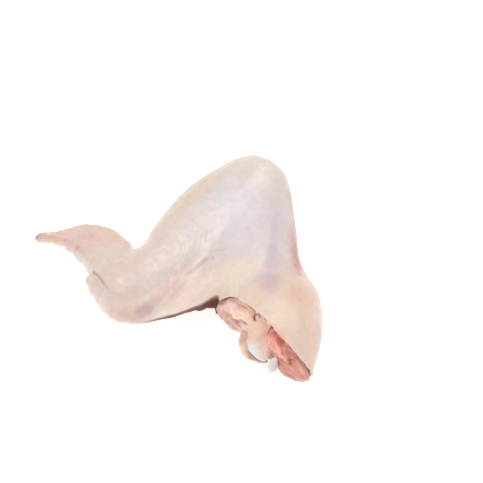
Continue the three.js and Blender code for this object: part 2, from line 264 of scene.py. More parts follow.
# Rings spaced evenly over the skin, closer at the finger tip, then the lip and the wall inside the cut.
SKIN_ROWS, SKIN_COLS = 410, 224
fine = np.linspace(0, 1, 801)
steps = sum(np.linalg.norm(np.diff(through(STATIONS[:, pair], fine), axis=0), axis=1)
            for pair in (slice(0, 2), slice(2, 4)))
travelled = np.concatenate([[0], np.cumsum(steps)])
share = np.linspace(0, 1, SKIN_ROWS)
share = share - 0.012 * np.sin(np.minimum(np.pi, 24 * share))
t_rows = np.interp(share * travelled[-1], travelled, fine)
outer_rings = skin_rings(t_rows, 0.0, SKIN_COLS)
normals = ring_normals(outer_rings)


def beside_path(xy, points, pieces=48):
    """Distance along a smooth path through the points, and distance from it, positive on its left: the
    nearest of the path's straight pieces is taken for every place."""
    line = through(np.asarray(points, float), np.linspace(0, 1, pieces + 1))
    flat = xy.reshape(-1, 2)
    best, along_path, off = np.full(len(flat), 1e9), np.zeros(len(flat)), np.zeros(len(flat))
    start = 0.0
    for a, b in zip(line[:-1], line[1:]):
        d = b - a
        share = np.clip(((flat - a) @ d) / (d @ d), 0, 1)
        gap = flat - a - share[:, None] * d
        far = (gap ** 2).sum(1)
        near = far < best
        best = np.where(near, far, best)
        along_path = np.where(near, start + share * np.linalg.norm(d), along_path)
        off = np.where(near, np.sign(d[0] * gap[:, 1] - d[1] * gap[:, 0]) * np.sqrt(far), off)
        start += np.linalg.norm(d)
    return along_path.reshape(xy.shape[:-1]), off.reshape(xy.shape[:-1]), start


def groove(xy, points, depth, half):
    """A furrow along a smooth path: a Gaussian of the distance, which runs out over the first and last
    fifth."""
    run, off, length = beside_path(xy, points, 24)
    ends = ease(run, 0, 0.2 * length) * (1 - ease(run, 0.8 * length, length))
    return depth * bell(off, half) * (0.25 + 0.75 * ends)


# Relief of the skin in mm. Slack and wrinkles are noise: height, size, seed.
SLACK = [(0.18, 12, 1), (0.17, 5.0, 2), (0.28, 2.2, 3), (0.12, 0.9, 9)]
WRINKLES = [(0.16, 2.2, 4), (0.10, 1.0, 5)]
spot = outer_rings
flat_place = spot[..., :2]
shifted = flat_place + 1.1 * drift(spot, 4.5, 71) + 0.4 * drift(spot, 1.5, 83)
upper = ease(normals[..., 2], -0.1, 0.35)
limb = np.array([0.79, 0.61, 0.0])  # direction of the forearm
side = np.array([-0.61, 0.79, 0.0])
lengthwise = np.stack([spot @ limb / 4.0, spot @ side, spot[..., 2]], axis=-1)
crosswise = np.stack([spot @ limb, spot @ side / 3.5, spot[..., 2]], axis=-1)
on_web = near_line(flat_place, (-14, -20), (16, -13), 7)
slack = sum(height * noise(spot, size, seed) for height, size, seed in SLACK) * (1 - 0.5 * on_web)
wrinkles = sum(height * noise(lengthwise, size, seed) for height, size, seed in WRINKLES)
wrinkles = wrinkles * (1 - 0.6 * on_web)

# The flight feathers left a row of large follicles along the ulna, each with a fold towards the trailing
# edge.
ULNA_ROW = [(-20, -15.6), (-12, -3.3), (-6, 5.4), (2.2, 17.5), (12, 23.1), (21.9, 26.6), (31, 27.5)]
FEATHER_STEP = 4.3
row_run, row_off, row_length = beside_path(shifted, ULNA_ROW)
row_ends = ease(row_run, 1, 9) * (1 - ease(row_run, row_length - 9, row_length))
beat = 2 * np.pi * (row_run / FEATHER_STEP + 0.05 * row_off + 0.22 * noise(spot, 6, 76))
mounds = (0.32 + 0.28 * noise(spot, 5, 77)) * (0.5 + 0.5 * np.cos(beat)) ** 1.5 * bell(row_off - 0.9, 1.7)
under_row = -0.24 * bell(row_off + 1.5, 0.9) * (0.65 - 0.35 * np.cos(beat))
folds = (0.1 + 0.08 * noise(spot, 4, 78)) * np.cos(beat + 0.9) * bell(row_off - 6, 4)
# Smaller ones stand in staggered rows on the rest of the forearm, the hand and the elbow.
ALONG_STEP, ACROSS_STEP = 3.4, 2.9
u, v = shifted @ limb[:2] / ALONG_STEP, shifted @ side[:2] / ACROSS_STEP
band = np.round(v)
u_near = u - (np.round(u - 0.5 * (band % 2)) + 0.5 * (band % 2))
dots = np.exp(-((u_near * ALONG_STEP) ** 2 + ((v - band) * ACROSS_STEP) ** 2) / 0.7)
on_forearm = near_line(flat_place, (-14, 4), (28, 40), 12)
on_arm = 0.7 * near_line(flat_place, (36, 34), (42, 0), 9)
on_hand = 0.5 * near_line(flat_place, (-46, 20), (-26, 12), 7)
follicles = (0.26 + 0.2 * noise(spot, 3, 6)) * dots * np.maximum(np.maximum(on_forearm, on_arm), on_hand)
# Fine stretched streaks beside the row, and short folds across the wrist.
lines = np.cos(2 * np.pi * (spot[..., 0] / 2.1 + 0.6 * noise(spot, 5, 73)))
streaks = 0.3 * near_line(flat_place, (2, 2), (9, 12), 6) * np.clip(lines - 0.2, 0, 1) \
    * np.clip(0.2 + 1.1 * noise(spot, 3, 74), 0, 1)
wrist_folds = 0.4 * near_line(flat_place, (-27, 6), (-20, -8), 7) * noise(crosswise, 1.9, 75)

# Furrows in the skin: path, depth (a ridge below 0), half width.
FURROWS = [
    ([(12.0, 2.2), (9.8, 0.9), (7.2, -1.8), (3.4, -4.0)], 0.95, 0.85),  # front of the forearm
    ([(19.0, 4.0), (16.8, 4.9), (14.4, 4.5)], 0.5, 0.9),
    ([(2.0, -4.8), (-5.9, -10.2), (-9.9, -13.6)], 0.25, 1.6),
    ([(36.8, 35.0), (37.8, 26.0), (38.3, 18.3), (37.2, 9.3), (35.9, 2.0)], 1.2, 1.8),  # behind the upper arm
    ([(38.8, 37.0), (43.0, 21.0), (44.2, 8.0), (44.6, 0.0)], -0.8, 1.5),  # ridge at its edge
    ([(31.5, 33.0), (32.5, 25.0), (31.0, 14.0), (28.0, 4.0)], 0.3, 1.3),
    ([(28.0, 3.0), (31.0, -3.0), (34.5, -10.0), (35.0, -15.0)], 0.35, 1.1),
    ([(26.0, -3.0), (24.0, 3.0), (19.0, 8.0), (12.0, 9.0)], 0.22, 0.9),
    ([(-36.2, 2.2), (-34.4, 0.4), (-30.3, -7.7), (-28.8, -10.2)], 0.9, 0.6),  # thumb
    ([(-19.5, 8.0), (-14.0, 8.4), (-9.0, 13.0)], 0.3, 0.8),
    ([(-24.0, 12.0), (-20.0, 6.0), (-21.0, 0.0)], 0.35, 0.9),
    ([(-44.0, 20.5), (-37.0, 19.0), (-30.0, 16.0)], 0.22, 0.8),
]
creases = sum(groove(shifted, *furrow) for furrow in FURROWS) * (1 + 0.5 * noise(spot, 3.5, 79))
knuckles = 0.7 * near_line(flat_place, (33.4, 39.0), (34.2, 33.0), 3.2) \
    + 0.5 * near_line(flat_place, (-36, -4.2), (-33, -9), 2.6)
valley = 1.3 * near_line(flat_place, (12, -3), (25, -6), 5.5)  # slack skin fills the crook

edge_of_cut = ease(t_rows, 0.9, 1)[:, None]
soft = slack + wrinkles + (mounds + under_row + folds) * row_ends + streaks + wrist_folds
relief = soft * np.clip(0.35 + 0.65 * upper, 0, 1) + follicles * upper ** 3 \
    + (knuckles + valley - creases) * upper
relief = relief * (1 - 0.6 * edge_of_cut) * np.clip(np.arange(SKIN_ROWS) / 8, 0, 1)[:, None]
pressed_flat = outer_rings[..., 2] < 0.02
skin_surface = outer_rings + normals * np.where(pressed_flat, 0, relief)[..., None]
skin_surface[..., 2] = np.maximum(skin_surface[..., 2], 0.0)

theta = np.arange(SKIN_COLS) * 2 * np.pi / SKIN_COLS


def web_edge_hang(points, angle):
    """The web's edge hangs down a little, more towards the cut. Under it a lower sheet stands out further,
    so that it shows below the edge as a stand-in for the shadow there, painted dark: a Gaussian of the angle
    round the ring."""
    x = points[..., 0]
    near = near_line(points[..., :2], (-6, -20.5), (15.8, -13.2), 3.2)
    sag = near * ease(x, -6, 10)
    lower = 0.4 + 0.6 * ease(x, -12, 0) + ease(x, 0, 8) + 3.8 * ease(x, 5, 12.5) + 3.4 * ease(x, 10.5, 14)
    lower = lower * near * (1 - ease(x, 14.4, 16.5)) * bell(angle - np.pi - 0.34, 0.2)
    hang = sag[..., None] * np.array([0, -1.5, -1.1]) + lower[..., None] * np.array([0, -0.9, -0.45])
    return hang, lower


def draw_back(points):
    """The upper edge of the skin is drawn back from the paler muscle: places within 7 mm of the cut move
    inwards."""
    s, out = (points - cut_from) @ along, (points - cut_from) @ outward
    ragged = np.stack([s, 0 * s, 0 * s], axis=-1)
    pull = 1.8 * ease(s, 3.5, 9) * (1 - ease(s, 19.0, 24.5)) * ease(points[..., 2], 10, 15)
    pull = pull + 0.4 * noise(ragged, 3.0, 7) + 0.2 * noise(ragged, 1.1, 8)
    return points - outward * (pull * ease(out, -7, 0))[..., None]


def cut_front(s, z):
    """How far the flesh stands out of the cut, s mm along it from the web and z mm up: little under the
    upper lip, more towards the floor, and most round the head of the bone."""
    low = np.clip((24 - z) / 22, 0, 1)
    return 0.6 + 3.2 * low + 1.8 * low * bell(s - 22, 8)


def on_cut(s, out, z):
    """A place on the cut: s mm along it from the web, out mm out of it, z mm up."""
    s, out, z = np.broadcast_arrays(np.asarray(s, float), np.asarray(out, float), np.asarray(z, float))
    return cut_from + along * s[..., None] + outward * out[..., None] + np.array([0, 0, 1.0]) * z[..., None]


# The lip: the sheet turns over its edge and runs back inside as a wall. Over the joint it first hangs
# down as a soft flap, close to the fat below it, and sinks into that fat at its end, so that skin and fat
# look like one.
FLAP_RINGS = 20
# The rolled edge and the wall: share of the wing behind the cut, inset, lift out of the cut, share of the
# flap's hang, and how red it is.
WALL = [(0, 0.25, 0.3, 1, 0), (0, 0.75, 0.45, 0.98, 0), (0, 1.25, 0.38, 0.9, 0), (0, 1.6, 0.05, 0.75, 0.3),
        (0.004, SKIN, 0, 0.6, 0.7), (0.012, SKIN, 0, 0.4, 1), (0.024, SKIN, 0, 0.2, 1),
        (0.04, SKIN, 0, 0.1, 1), (0.06, 1.9, 0, 0, 1)]
edge_ring = skin_rings(np.array([1.0]), 0.0, SKIN_COLS)[0]
edge_s = (edge_ring - cut_from) @ along
flap = ease(edge_s, 22.0, 24.2) * (1 - ease(edge_s, 26.0, 28.0)) * ease(np.sin(theta), 0.02, 0.25)
drop = 11.0 - 8.5 * ease(edge_s, 23.8, 27.4)


def flap_at(q):
    """The flap's surface a share q of the way down: it turns down in a quarter ellipse, spreads to both
    sides, and goes from the skin's edge to just over the fat, then into it."""
    s = edge_s + q * (0.3 * (edge_s - 25) - 2.2 + 1.2 * ease(edge_s, 25, 28))
    z = edge_ring[:, 2] - drop * (1 - np.cos(q * np.pi / 2))
    over_fat = 1.5 * (1 - np.clip(((s - 23.2) / 9) ** 2 + ((z - 13.6) / 12.6) ** 2, 0, 1))
    out = (cut_front(s, z) + over_fat + 0.3 - 1.6 * q * q - 1.3 * (1 - flap)) * ease(q, 0, 0.6)
    return on_cut(s, out, z)


lip = [edge_ring + (flap_at(q) - edge_ring) * flap[:, None] + outward * 0.12 * q
       for q in np.linspace(0.05, 1, FLAP_RINGS)]
for back_in, inset, proud, keep, _ in WALL:
    hang = (flap_at(1.0) - edge_ring) * (flap * keep)[:, None]
    wall_ring = skin_rings(np.array([1 - back_in]), inset, SKIN_COLS)[0]
    lip.append(wall_ring + outward * (proud - 0.4 * flap)[:, None] + hang)
lip = np.array(lip)
skin_all = np.concatenate([skin_surface, lip])
hang, shadow_sheet = web_edge_hang(skin_all, theta)
skin_all = draw_back(skin_all + hang)

# Colours by place. Each zone is a soft ellipse seen from above: centre, half axes, turn, colour, strength.
ZONES = [
    ((24, 19), (21, 22), 0.3, rgb(226, 223, 230), 1.0),  # white, slightly lavender middle
    ((34, 8), (7, 12), 0.0, rgb(228, 219, 225), 0.8),
    ((9, 13), (8, 7), 0.6, rgb(222, 212, 210), 0.6),
    ((39, 14), (3, 14), 0.0, rgb(222, 211, 218), 0.8),  # bluish groove behind the upper arm
    ((30, 43), (13, 6), 0.0, rgb(231, 215, 204), 0.9),  # warm elbow
    ((33, 37), (4, 5), 0.0, rgb(252, 245, 240), 0.9),  # painted highlight on the knuckle's bump
    ((-37, 17), (11, 7), 0.0, rgb(231, 198, 188), 1.0),  # pink hand
    ((-31, 21), (8, 4), 0.0, rgb(234, 204, 190), 0.8),
    ((-27, 15), (5, 4), 0.0, rgb(234, 201, 184), 0.7),
    ((-50, 19.6), (7, 4), -0.2, rgb(234, 190, 174), 0.95),  # orange finger
    ((-59.4, 19.8), (3.6, 4), 0.0, rgb(184, 134, 126), 1.0),  # its grey-brown end
    ((-42, 13), (5, 4), 0.0, rgb(228, 186, 175), 0.6),
    ((-28, 2), (6, 9), 0.0, rgb(226, 211, 197), 0.9),  # palm
    ((-22, -4), (7, 8), 0.0, rgb(229, 207, 194), 0.8),  # wrist
    ((2, 30), (26, 5.5), 0.80, rgb(224, 209, 189), 0.95),  # beige trailing edge
    ((8, -11), (14, 4.6), 0.1, rgb(234, 207, 191), 0.95),  # peach web
    ((-4, -14), (9, 4.5), 0.2, rgb(232, 202, 187), 0.9),
    ((-3, -7.5), (7, 4), 0.6, rgb(214, 180, 174), 0.85),  # pinkish front of the forearm
    ((21, -9), (10, 7), 0.0, rgb(253, 237, 216), 0.95),  # cream above the cut, painted lighter against the shade of the crook
    ((29, -18), (8, 7), 0.0, rgb(233, 215, 202), 0.9),
    ((-24, -19), (10, 4.5), -0.3, rgb(243, 214, 203), 0.95),  # pink heel
    # painted shade along the heel's lower edge
    ((-22, -21.5), (8, 2.5), -0.2, rgb(226, 190, 178), 0.6),
    ((-35, -7), (4.5, 6), 0.3, rgb(227, 201, 193), 0.9),  # thumb
    ((-36.6, -3.6), (3.2, 2.4), 0.0, rgb(228, 205, 184), 0.8),
    ((47.4, -7), (2.4, 6), 0.25, rgb(218, 178, 170), 0.8),  # pink edge towards the shoulder
]


def paint(colour, towards, cover):
    """A colour drawn towards another, by a share for each place."""
    return colour + (towards - colour) * cover[..., None]


def zone_tint(base, zones, places, wander):
    """Starts from one colour and lays soft ellipses of other colours over it: strength times a bell of the
    distance in half axes, with the place shifted by noise so that no edge is even."""
    colour = np.broadcast_to(base, places.shape[:-1] + (3,))
    for centre, halves, turn, shade, strength in zones:
        d = places - np.asarray(centre, float) + wander
        c, s = np.cos(turn), np.sin(turn)
        a = (d[..., 0] * c + d[..., 1] * s) / halves[0]
        b = (-d[..., 0] * s + d[..., 1] * c) / halves[1]
        colour = paint(colour, shade, strength * np.exp(-((a * a + b * b) ** 1.3)))
    return colour


def stroke_tint(colour, strokes, places, wander):
    """Lays soft strokes over a colour, or over one colour everywhere: strength times a bell of the third
    power of the distance from a line, which leaves a fairly clear edge."""
    colour = np.broadcast_to(colour, places.shape[:-1] + (3,))
    for start, end, half, shade, strength in strokes:
        colour = paint(colour, shade, strength * near_line(places + wander, start, end, half, 3))
    return colour


def in_the_light(tint, *share):
    """Evens a tint for what the light and the glow under the surface do to it: red, green and blue by a
    share."""
    return np.clip(tint * np.array(share), 0, 1)


place = skin_all[..., :2]
wander = 2.0 * drift(skin_all, 7, 11) + 0.7 * drift(skin_all, 2, 17)
skin_tint = zone_tint(rgb(228, 212, 202), ZONES, place, wander)
# Faint blotches: some lavender where the flesh shines through, some cream where fat lies under the skin.
blotch = noise(skin_all, 6.5, 81) + 0.6 * noise(skin_all, 3.0, 82)
skin_tint = paint(skin_tint, rgb(222, 200, 208), 0.15 * ease(blotch, 0.25, 1.1))
skin_tint = paint(skin_tint, rgb(240, 220, 200), 0.15 * ease(-blotch, 0.25, 1.1))
# The fatty patch of the shoulder starts at an uneven line across the upper arm.
behind = (place[..., 0] - 34) * 8 - (place[..., 1] + 12) * 20
shoulder = ease(behind / 21.5 - 1.5 + 2.2 * noise(skin_all, 6, 13) + 1.1 * noise(skin_all, 2, 14), -0.8, 1.1)
skin_tint = paint(skin_tint, rgb(242, 214, 194), 0.92 * shoulder)
skin_tint = zone_tint(skin_tint, [
    ((48, -21), (5, 8), 0.2, rgb(238, 195, 174), 0.95),  # peach
    ((42, -31), (6, 8), 0.4, rgb(251, 225, 202), 0.95),  # pale swelling beside the cut
    ((52, -35), (4, 9), 0.1, rgb(242, 207, 188), 0.9),
    ((34, -27), (5, 4), 0.4, rgb(236, 216, 203), 0.9),
    # painted shade along the shoulder's right edge
    ((56, -38), (2.4, 10), 0.1, rgb(220, 198, 192), 0.9),
    ((35.6, -15.4), (4.2, 5.4), 0.5, rgb(206, 176, 184), 0.9),  # bruise
    ((38.6, -6), (3.4, 5), 0.0, rgb(213, 196, 202), 0.75),
], place, wander * 0.5)
skin_tint = stroke_tint(skin_tint, [
    ((-15.6, -19.4), (-12.6, -18.2), 2.3, rgb(198, 168, 170), 0.9),  # purple spot on the heel
    ((-10.4, -15.6), (-8.4, -14.4), 1.5, rgb(220, 184, 176), 0.8),
    ((-8.5, -12.2), (1.0, -5.6), 1.5, rgb(230, 192, 182), 0.55),  # redder along the front crease
    # painted shade, darker along the creases of the forearm
    ((2.6, -4.6), (10.6, 1.8), 0.7, rgb(196, 164, 160), 0.8),
    ((5.6, -2.6), (9.8, 1.0), 1.0, rgb(204, 176, 174), 0.6),
    ((14.8, 4.6), (18.6, 4.4), 0.9, rgb(210, 190, 192), 0.6),
    ((12.8, 1.3), (13.0, 1.6), 0.8, rgb(208, 180, 180), 0.7),
    ((38.8, 20.0), (37.0, 1.0), 1.7, rgb(212, 198, 214), 0.55),  # lavender line behind the upper arm
    ((37.0, 1.0), (35.0, -13.0), 2.2, rgb(208, 188, 202), 0.55),
    ((-14.0, -8.0), (7.0, 6.5), 3.2, rgb(238, 228, 222), 0.55),  # painted light: paler over the hollow between the two bones, against its shade
    ((46.6, -3.5), (47.4, -8.5), 1.2, rgb(208, 158, 150), 0.8),  # reddish fold at the shoulder's edge
    ((-34.6, 0.4), (-30.6, -7.0), 0.55, rgb(160, 124, 114), 0.75),  # painted shade in the thumb's groove
    ((-30.4, -7.4), (-28.9, -10.2), 0.5, rgb(188, 160, 150), 0.6),
    ((-38.6, -2.8), (-37.6, -3.6), 1.2, rgb(186, 170, 158), 0.85),  # its grey end
    ((-40.9, 12.0), (-40.6, 12.4), 0.8, rgb(192, 146, 144), 0.75),  # spots on the hand
    ((-46.2, 16.4), (-46.0, 16.6), 0.5, rgb(204, 158, 152), 0.6),
    ((-36.4, 18.6), (-35.6, 18.0), 1.0, rgb(218, 176, 166), 0.7),
    ((-38.8, 17.2), (-38.0, 17.6), 0.8, rgb(220, 178, 168), 0.7),
    ((-26.8, 15.0), (-25.8, 15.6), 1.0, rgb(236, 188, 160), 0.8),
    ((36.2, -35.2), (40.6, -39.2), 1.2, rgb(246, 180, 164), 0.8),  # pink glow beside the red muscle
    ((32.2, -30.4), (35.2, -33.4), 2.2, rgb(238, 204, 182), 0.7),  # tan above the flap
    ((-57.5, 20.8), (-47.0, 21.8), 0.7, rgb(222, 168, 148), 0.6),  # orange upper edge of the finger
], place, wander * 0.12)
# The back of the upper arm is rosy along its upper edge, towards the shoulder.
height = skin_all[..., 2]
rosy = near_line(place, (44.4, 26), (46.9, -3.5), 2.3) * ease(height + 3 * noise(skin_all, 5, 19), 8, 15)
skin_tint = paint(skin_tint, rgb(188, 112, 106), 0.92 * rosy * ease(-place[..., 1], -24, -3))
rim_line = near_line(place, (43.8, 33), (46.6, 12), 1.0) * ease(height, 9, 14)
skin_tint = paint(skin_tint, rgb(214, 172, 168), 0.7 * rim_line)
# Painted shade and light: creases are darker as painted shade, follicle mounds paler as painted highlights.
on_lip = np.concatenate([np.zeros(SKIN_ROWS), np.ones(len(lip))])[:, None] * np.ones(SKIN_COLS)
hollow = (creases * 0.55 - (mounds * 0.35 + under_row * 0.7) * row_ends - follicles * 0.8) * upper
hollow = np.concatenate([hollow, on_lip[SKIN_ROWS:] * 0])
skin_tint = paint(skin_tint, rgb(205, 176, 168), np.clip(hollow * 0.9, 0, 0.8))
skin_tint = paint(skin_tint, rgb(246, 236, 228), np.clip(-hollow * 2.2, 0, 0.6))
# Painted shade: the underside is darker and redder, and the sheet below the web's edge is painted dark
# as the shadow under the web, lighter further out.
below = np.concatenate([ease(-normals[..., 2], 0.1, 0.8), on_lip[SKIN_ROWS:]])
skin_tint = paint(skin_tint, rgb(206, 164, 152), 0.35 * below)
web_edge_shadow = near_line(place, (-10, -23), (15.5, -14.5), 5, 4) * (theta > np.pi - 0.015) \
    * ease(place[..., 0], -17, -9)
skin_tint = paint(skin_tint, rgb(104, 34, 30), 0.97 * np.maximum(web_edge_shadow, ease(shadow_sheet, 0.1, 0.4)))
shadow_sheet_fade = ease(shadow_sheet, 0.1, 0.4) * ease(theta, np.pi + 0.18, np.pi + 0.42) * ease(place[..., 0], 3, 8)
skin_tint = paint(skin_tint, rgb(176, 128, 120), 0.5 * shadow_sheet_fade)
# The lip is peach, the flap tan further down, and the wall inside red.
at_lip = np.concatenate([ease(t_rows, 0.992, 1), np.ones(len(lip))])[:, None]
skin_tint = paint(skin_tint, rgb(240, 204, 186), 0.5 * at_lip)
down_flap = np.concatenate([np.zeros(SKIN_ROWS), np.linspace(0.05, 1, FLAP_RINGS), np.ones(len(WALL))])
skin_tint = paint(skin_tint, rgb(234, 192, 168), 0.85 * ease(down_flap[:, None] * flap, 0.0, 1.0))
inside = np.concatenate([np.zeros(SKIN_ROWS + FLAP_RINGS), [row[-1] for row in WALL]])[:, None]
skin_tint = paint(skin_tint, rgb(186, 104, 94), 0.9 * inside)
skin_tint = skin_tint * (1 + 0.025 * noise(skin_all, 3.1, 15) + 0.035 * noise(skin_all, 1.1, 16))[..., None]
skin_tint = in_the_light(skin_tint, 0.865, 0.92, 0.925)

skin = closed_mesh("wing_skin", skin_all, skin_tint)


def flesh_material(name, roughness, glow, depth, mottle, mottle_size, bump_layers, coat=0.0):
    """Wet flesh: the colour of the attribute 'tint' darkened and lightened by noise, light that spreads
    under the surface, and bump added from noise and cells of several sizes in mm."""
    material = bpy.data.materials.new(name)
    material.use_nodes = True
    nodes, links = material.node_tree.nodes, material.node_tree.links
    shader = nodes["Principled BSDF"]
    shader.inputs["Roughness"].default_value = roughness
    shader.inputs["Subsurface Weight"].default_value = glow
    shader.inputs["Subsurface Radius"].default_value = (1.0, 0.42, 0.28)
    shader.inputs["Subsurface Scale"].default_value = depth
    shader.inputs["Coat Weight"].default_value = coat
    shader.inputs["Coat Roughness"].default_value = 0.22
    place_node = nodes.new("ShaderNodeTexCoord")
    object_place = place_node.outputs["Object"]
    tint = nodes.new("ShaderNodeAttribute")
    tint.attribute_name = "tint"
    cloud = nodes.new("ShaderNodeTexNoise")
    cloud.inputs["Scale"].default_value = 1000 / mottle_size
    cloud.inputs["Detail"].default_value = 4
    links.new(object_place, cloud.inputs["Vector"])
    ramp = nodes.new("ShaderNodeMapRange")
    ramp.inputs["From Min"].default_value = 0.3
    ramp.inputs["From Max"].default_value = 0.7
    ramp.inputs["To Min"].default_value = 1 - mottle
    ramp.inputs["To Max"].default_value = 1 + mottle
    links.new(cloud.outputs["Fac"], ramp.inputs["Value"])
    shade = nodes.new("ShaderNodeVectorMath")
    shade.operation = "SCALE"
    links.new(tint.outputs["Color"], shade.inputs[0])
    links.new(ramp.outputs["Result"], shade.inputs["Scale"])
    links.new(shade.outputs["Vector"], shader.inputs["Base Color"])
    normal = None
    for kind, size, height in bump_layers:
        if kind == "cells":
            source = nodes.new("ShaderNodeTexVoronoi")
            out = source.outputs["Distance"]
        else:
            source = nodes.new("ShaderNodeTexNoise")
            source.inputs["Detail"].default_value = 3
            out = source.outputs["Fac"]
        source.inputs["Scale"].default_value = 1000 / size
        links.new(object_place, source.inputs["Vector"])
        bump = nodes.new("ShaderNodeBump")
        bump.inputs["Strength"].default_value = 1.0
        bump.inputs["Distance"].default_value = height * 0.001
        links.new(out, bump.inputs["Height"])
        if normal is not None:
            links.new(normal, bump.inputs["Normal"])
        normal = bump.outputs["Normal"]
    links.new(normal, shader.inputs["Normal"])
    return material


skin.data.materials.append(flesh_material(
    "skin", roughness=0.46, glow=0.22, depth=0.0022, mottle=0.025, mottle_size=2.4,
    bump_layers=(("cells", 0.75, -0.05), ("cloud", 0.5, 0.035), ("cloud", 2.2, 0.1)), coat=0.08))
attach(skin, "root")
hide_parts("skin")

# ---- Red muscle ----------------------------------------------------------------------------------
# The large muscle at the back of the upper arm, cut across near the shoulder. Its wet face swells out of
# the skin, with pale strands of sheath, and a gap runs along it under the lip of the skin, painted deep red
# as shade.


FACE_COLS = 220


def flesh_grid(rim, centre, root, crown, relief):
    """A tissue as a profile carried along a path. Its rim, a smooth closed line through points given as
    place along the cut, lift over the front, and height, shrinks towards the root as the sine of the share
    to the power 0.6. Outside, rings close over the face towards the centre. They stand out by the front,
    the lift times share^6 and the crown times 1 - share^2, are rounded off within the last tenth, and carry
    the relief."""
    rim = np.asarray(rim, float)
    loop = np.vstack([rim[-2:], rim, rim[:3]])
    span = np.linspace(2 / (len(loop) - 1), (2 + len(rim)) / (len(loop) - 1), FACE_COLS, endpoint=False)
    edge = through(loop, span)
    faces, marks = [], []
    for f in np.concatenate([[1.0, 0.994, 0.98, 0.965, 0.945, 0.92], np.linspace(0.895, 0.012, 54)]):
        s = centre[0] + (edge[:, 0] - centre[0]) * f
        z = centre[1] + (edge[:, 2] - centre[1]) * f
        swell = edge[:, 1] * f ** 6 + crown * (1 - f * f)
        out = cut_front(s, z) + swell - 1.3 * np.clip((f - 0.88) / 0.12, 0, 1) ** 2.4
        faces.append(on_cut(s, out + relief(s, z, f), z))
        marks.append(np.stack([s, z], axis=-1))
    base = faces[0]
    middle, root = base.mean(0), np.asarray(root, float)
    walls = [root + (middle - root) * h + (base - middle) * np.sin(h * np.pi / 2) ** 0.6
             for h in np.concatenate([np.linspace(0.04, 0.7, 10), np.linspace(0.74, 1, 8)[:-1]])]
    return np.concatenate([walls, faces]), np.concatenate([[marks[0]] * len(walls), marks])


def flat_noise(s, z, size, seed):
    """Noise over the cut's plane."""
    return noise(np.stack([s, z, 0 * s], axis=-1), size, seed)


def furrows(s, z, strokes):
    """Straight furrows on the cut, wavering by noise: for each its depth times a bell of the distance from
    its line. A depth below 0 is a ridge."""
    bent = np.stack([s, z], axis=-1) + 0.5 * drift(np.stack([s, z, 0 * s], axis=-1), 2.5, 91)
    return sum(depth * near_line(bent, start, end, half) for start, end, depth, half in strokes)


def on_plane(points):
    """Where places lie seen square on to the cut: mm along it and mm up."""
    return np.stack([(points - cut_from) @ along, points[..., 2]], axis=-1)


# Place along the cut, lift over the front, height.
RED_RIM = [(27.2, -0.3, 18.4), (27.8, -0.6, 22.4), (30.6, -0.6, 25.6), (32.8, -0.7, 25.6),
           (37.4, -0.7, 23.6), (44.4, -0.6, 18.9), (49.6, -0.1, 14.2), (50.4, 0, 9.6), (46.6, 0, 5.4),
           (41.0, 0, 3.2), (36.0, 0, 3.0), (32.8, -0.3, 7.0), (30.0, -0.3, 11.5), (28.0, -0.3, 15.0)]
# Furrows: from, to, depth, half width.
RED_FURROWS = [
    ((28.4, 21.2), (31.4, 23.2), 0.7, 1.2),  # gap under the lip of the skin
    ((31.4, 23.2), (34.8, 22.0), 1.1, 1.1),
    ((34.8, 22.0), (36.4, 20.4), 0.8, 0.9),
    ((37.2, 18.6), (37.9, 16.6), 0.8, 0.6),  # ragged step half way
    ((40.6, 17.2), (41.8, 14.8), 0.9, 0.9),
    ((41.8, 17.4), (44.4, 17.8), 0.7, 0.6),
    ((33.0, 13.6), (36.6, 12.4), 0.5, 0.8),
    ((28.4, 18.2), (32.2, 16.6), -0.5, 1.0),  # raised strands
    ((32.2, 16.6), (36.4, 17.2), -0.6, 1.2),
    ((37.0, 15.0), (40.4, 15.4), -0.6, 0.7),
    ((39.0, 18.9), (40.8, 18.2), -0.5, 0.6),
]


def red_relief(s, z, f):
    """Strands down the muscle's length, lumps, and the furrows, all fading out at the rim."""
    a, b = s * 0.9 - z * 0.43, s * 0.43 + z * 0.9
    strands = 0.34 * flat_noise(a / 3.2, b, 1.7, 21) + 0.16 * flat_noise(a / 2.6, b, 0.7, 22)
    lumps = 0.5 * flat_noise(s, z, 4.6, 23) + 0.34 * flat_noise(s, z, 2.0, 24) \
        + 0.12 * flat_noise(s, z, 0.9, 29)
    return (strands + lumps - furrows(s, z, RED_FURROWS)) * np.clip((1 - f) * 7, 0, 1)


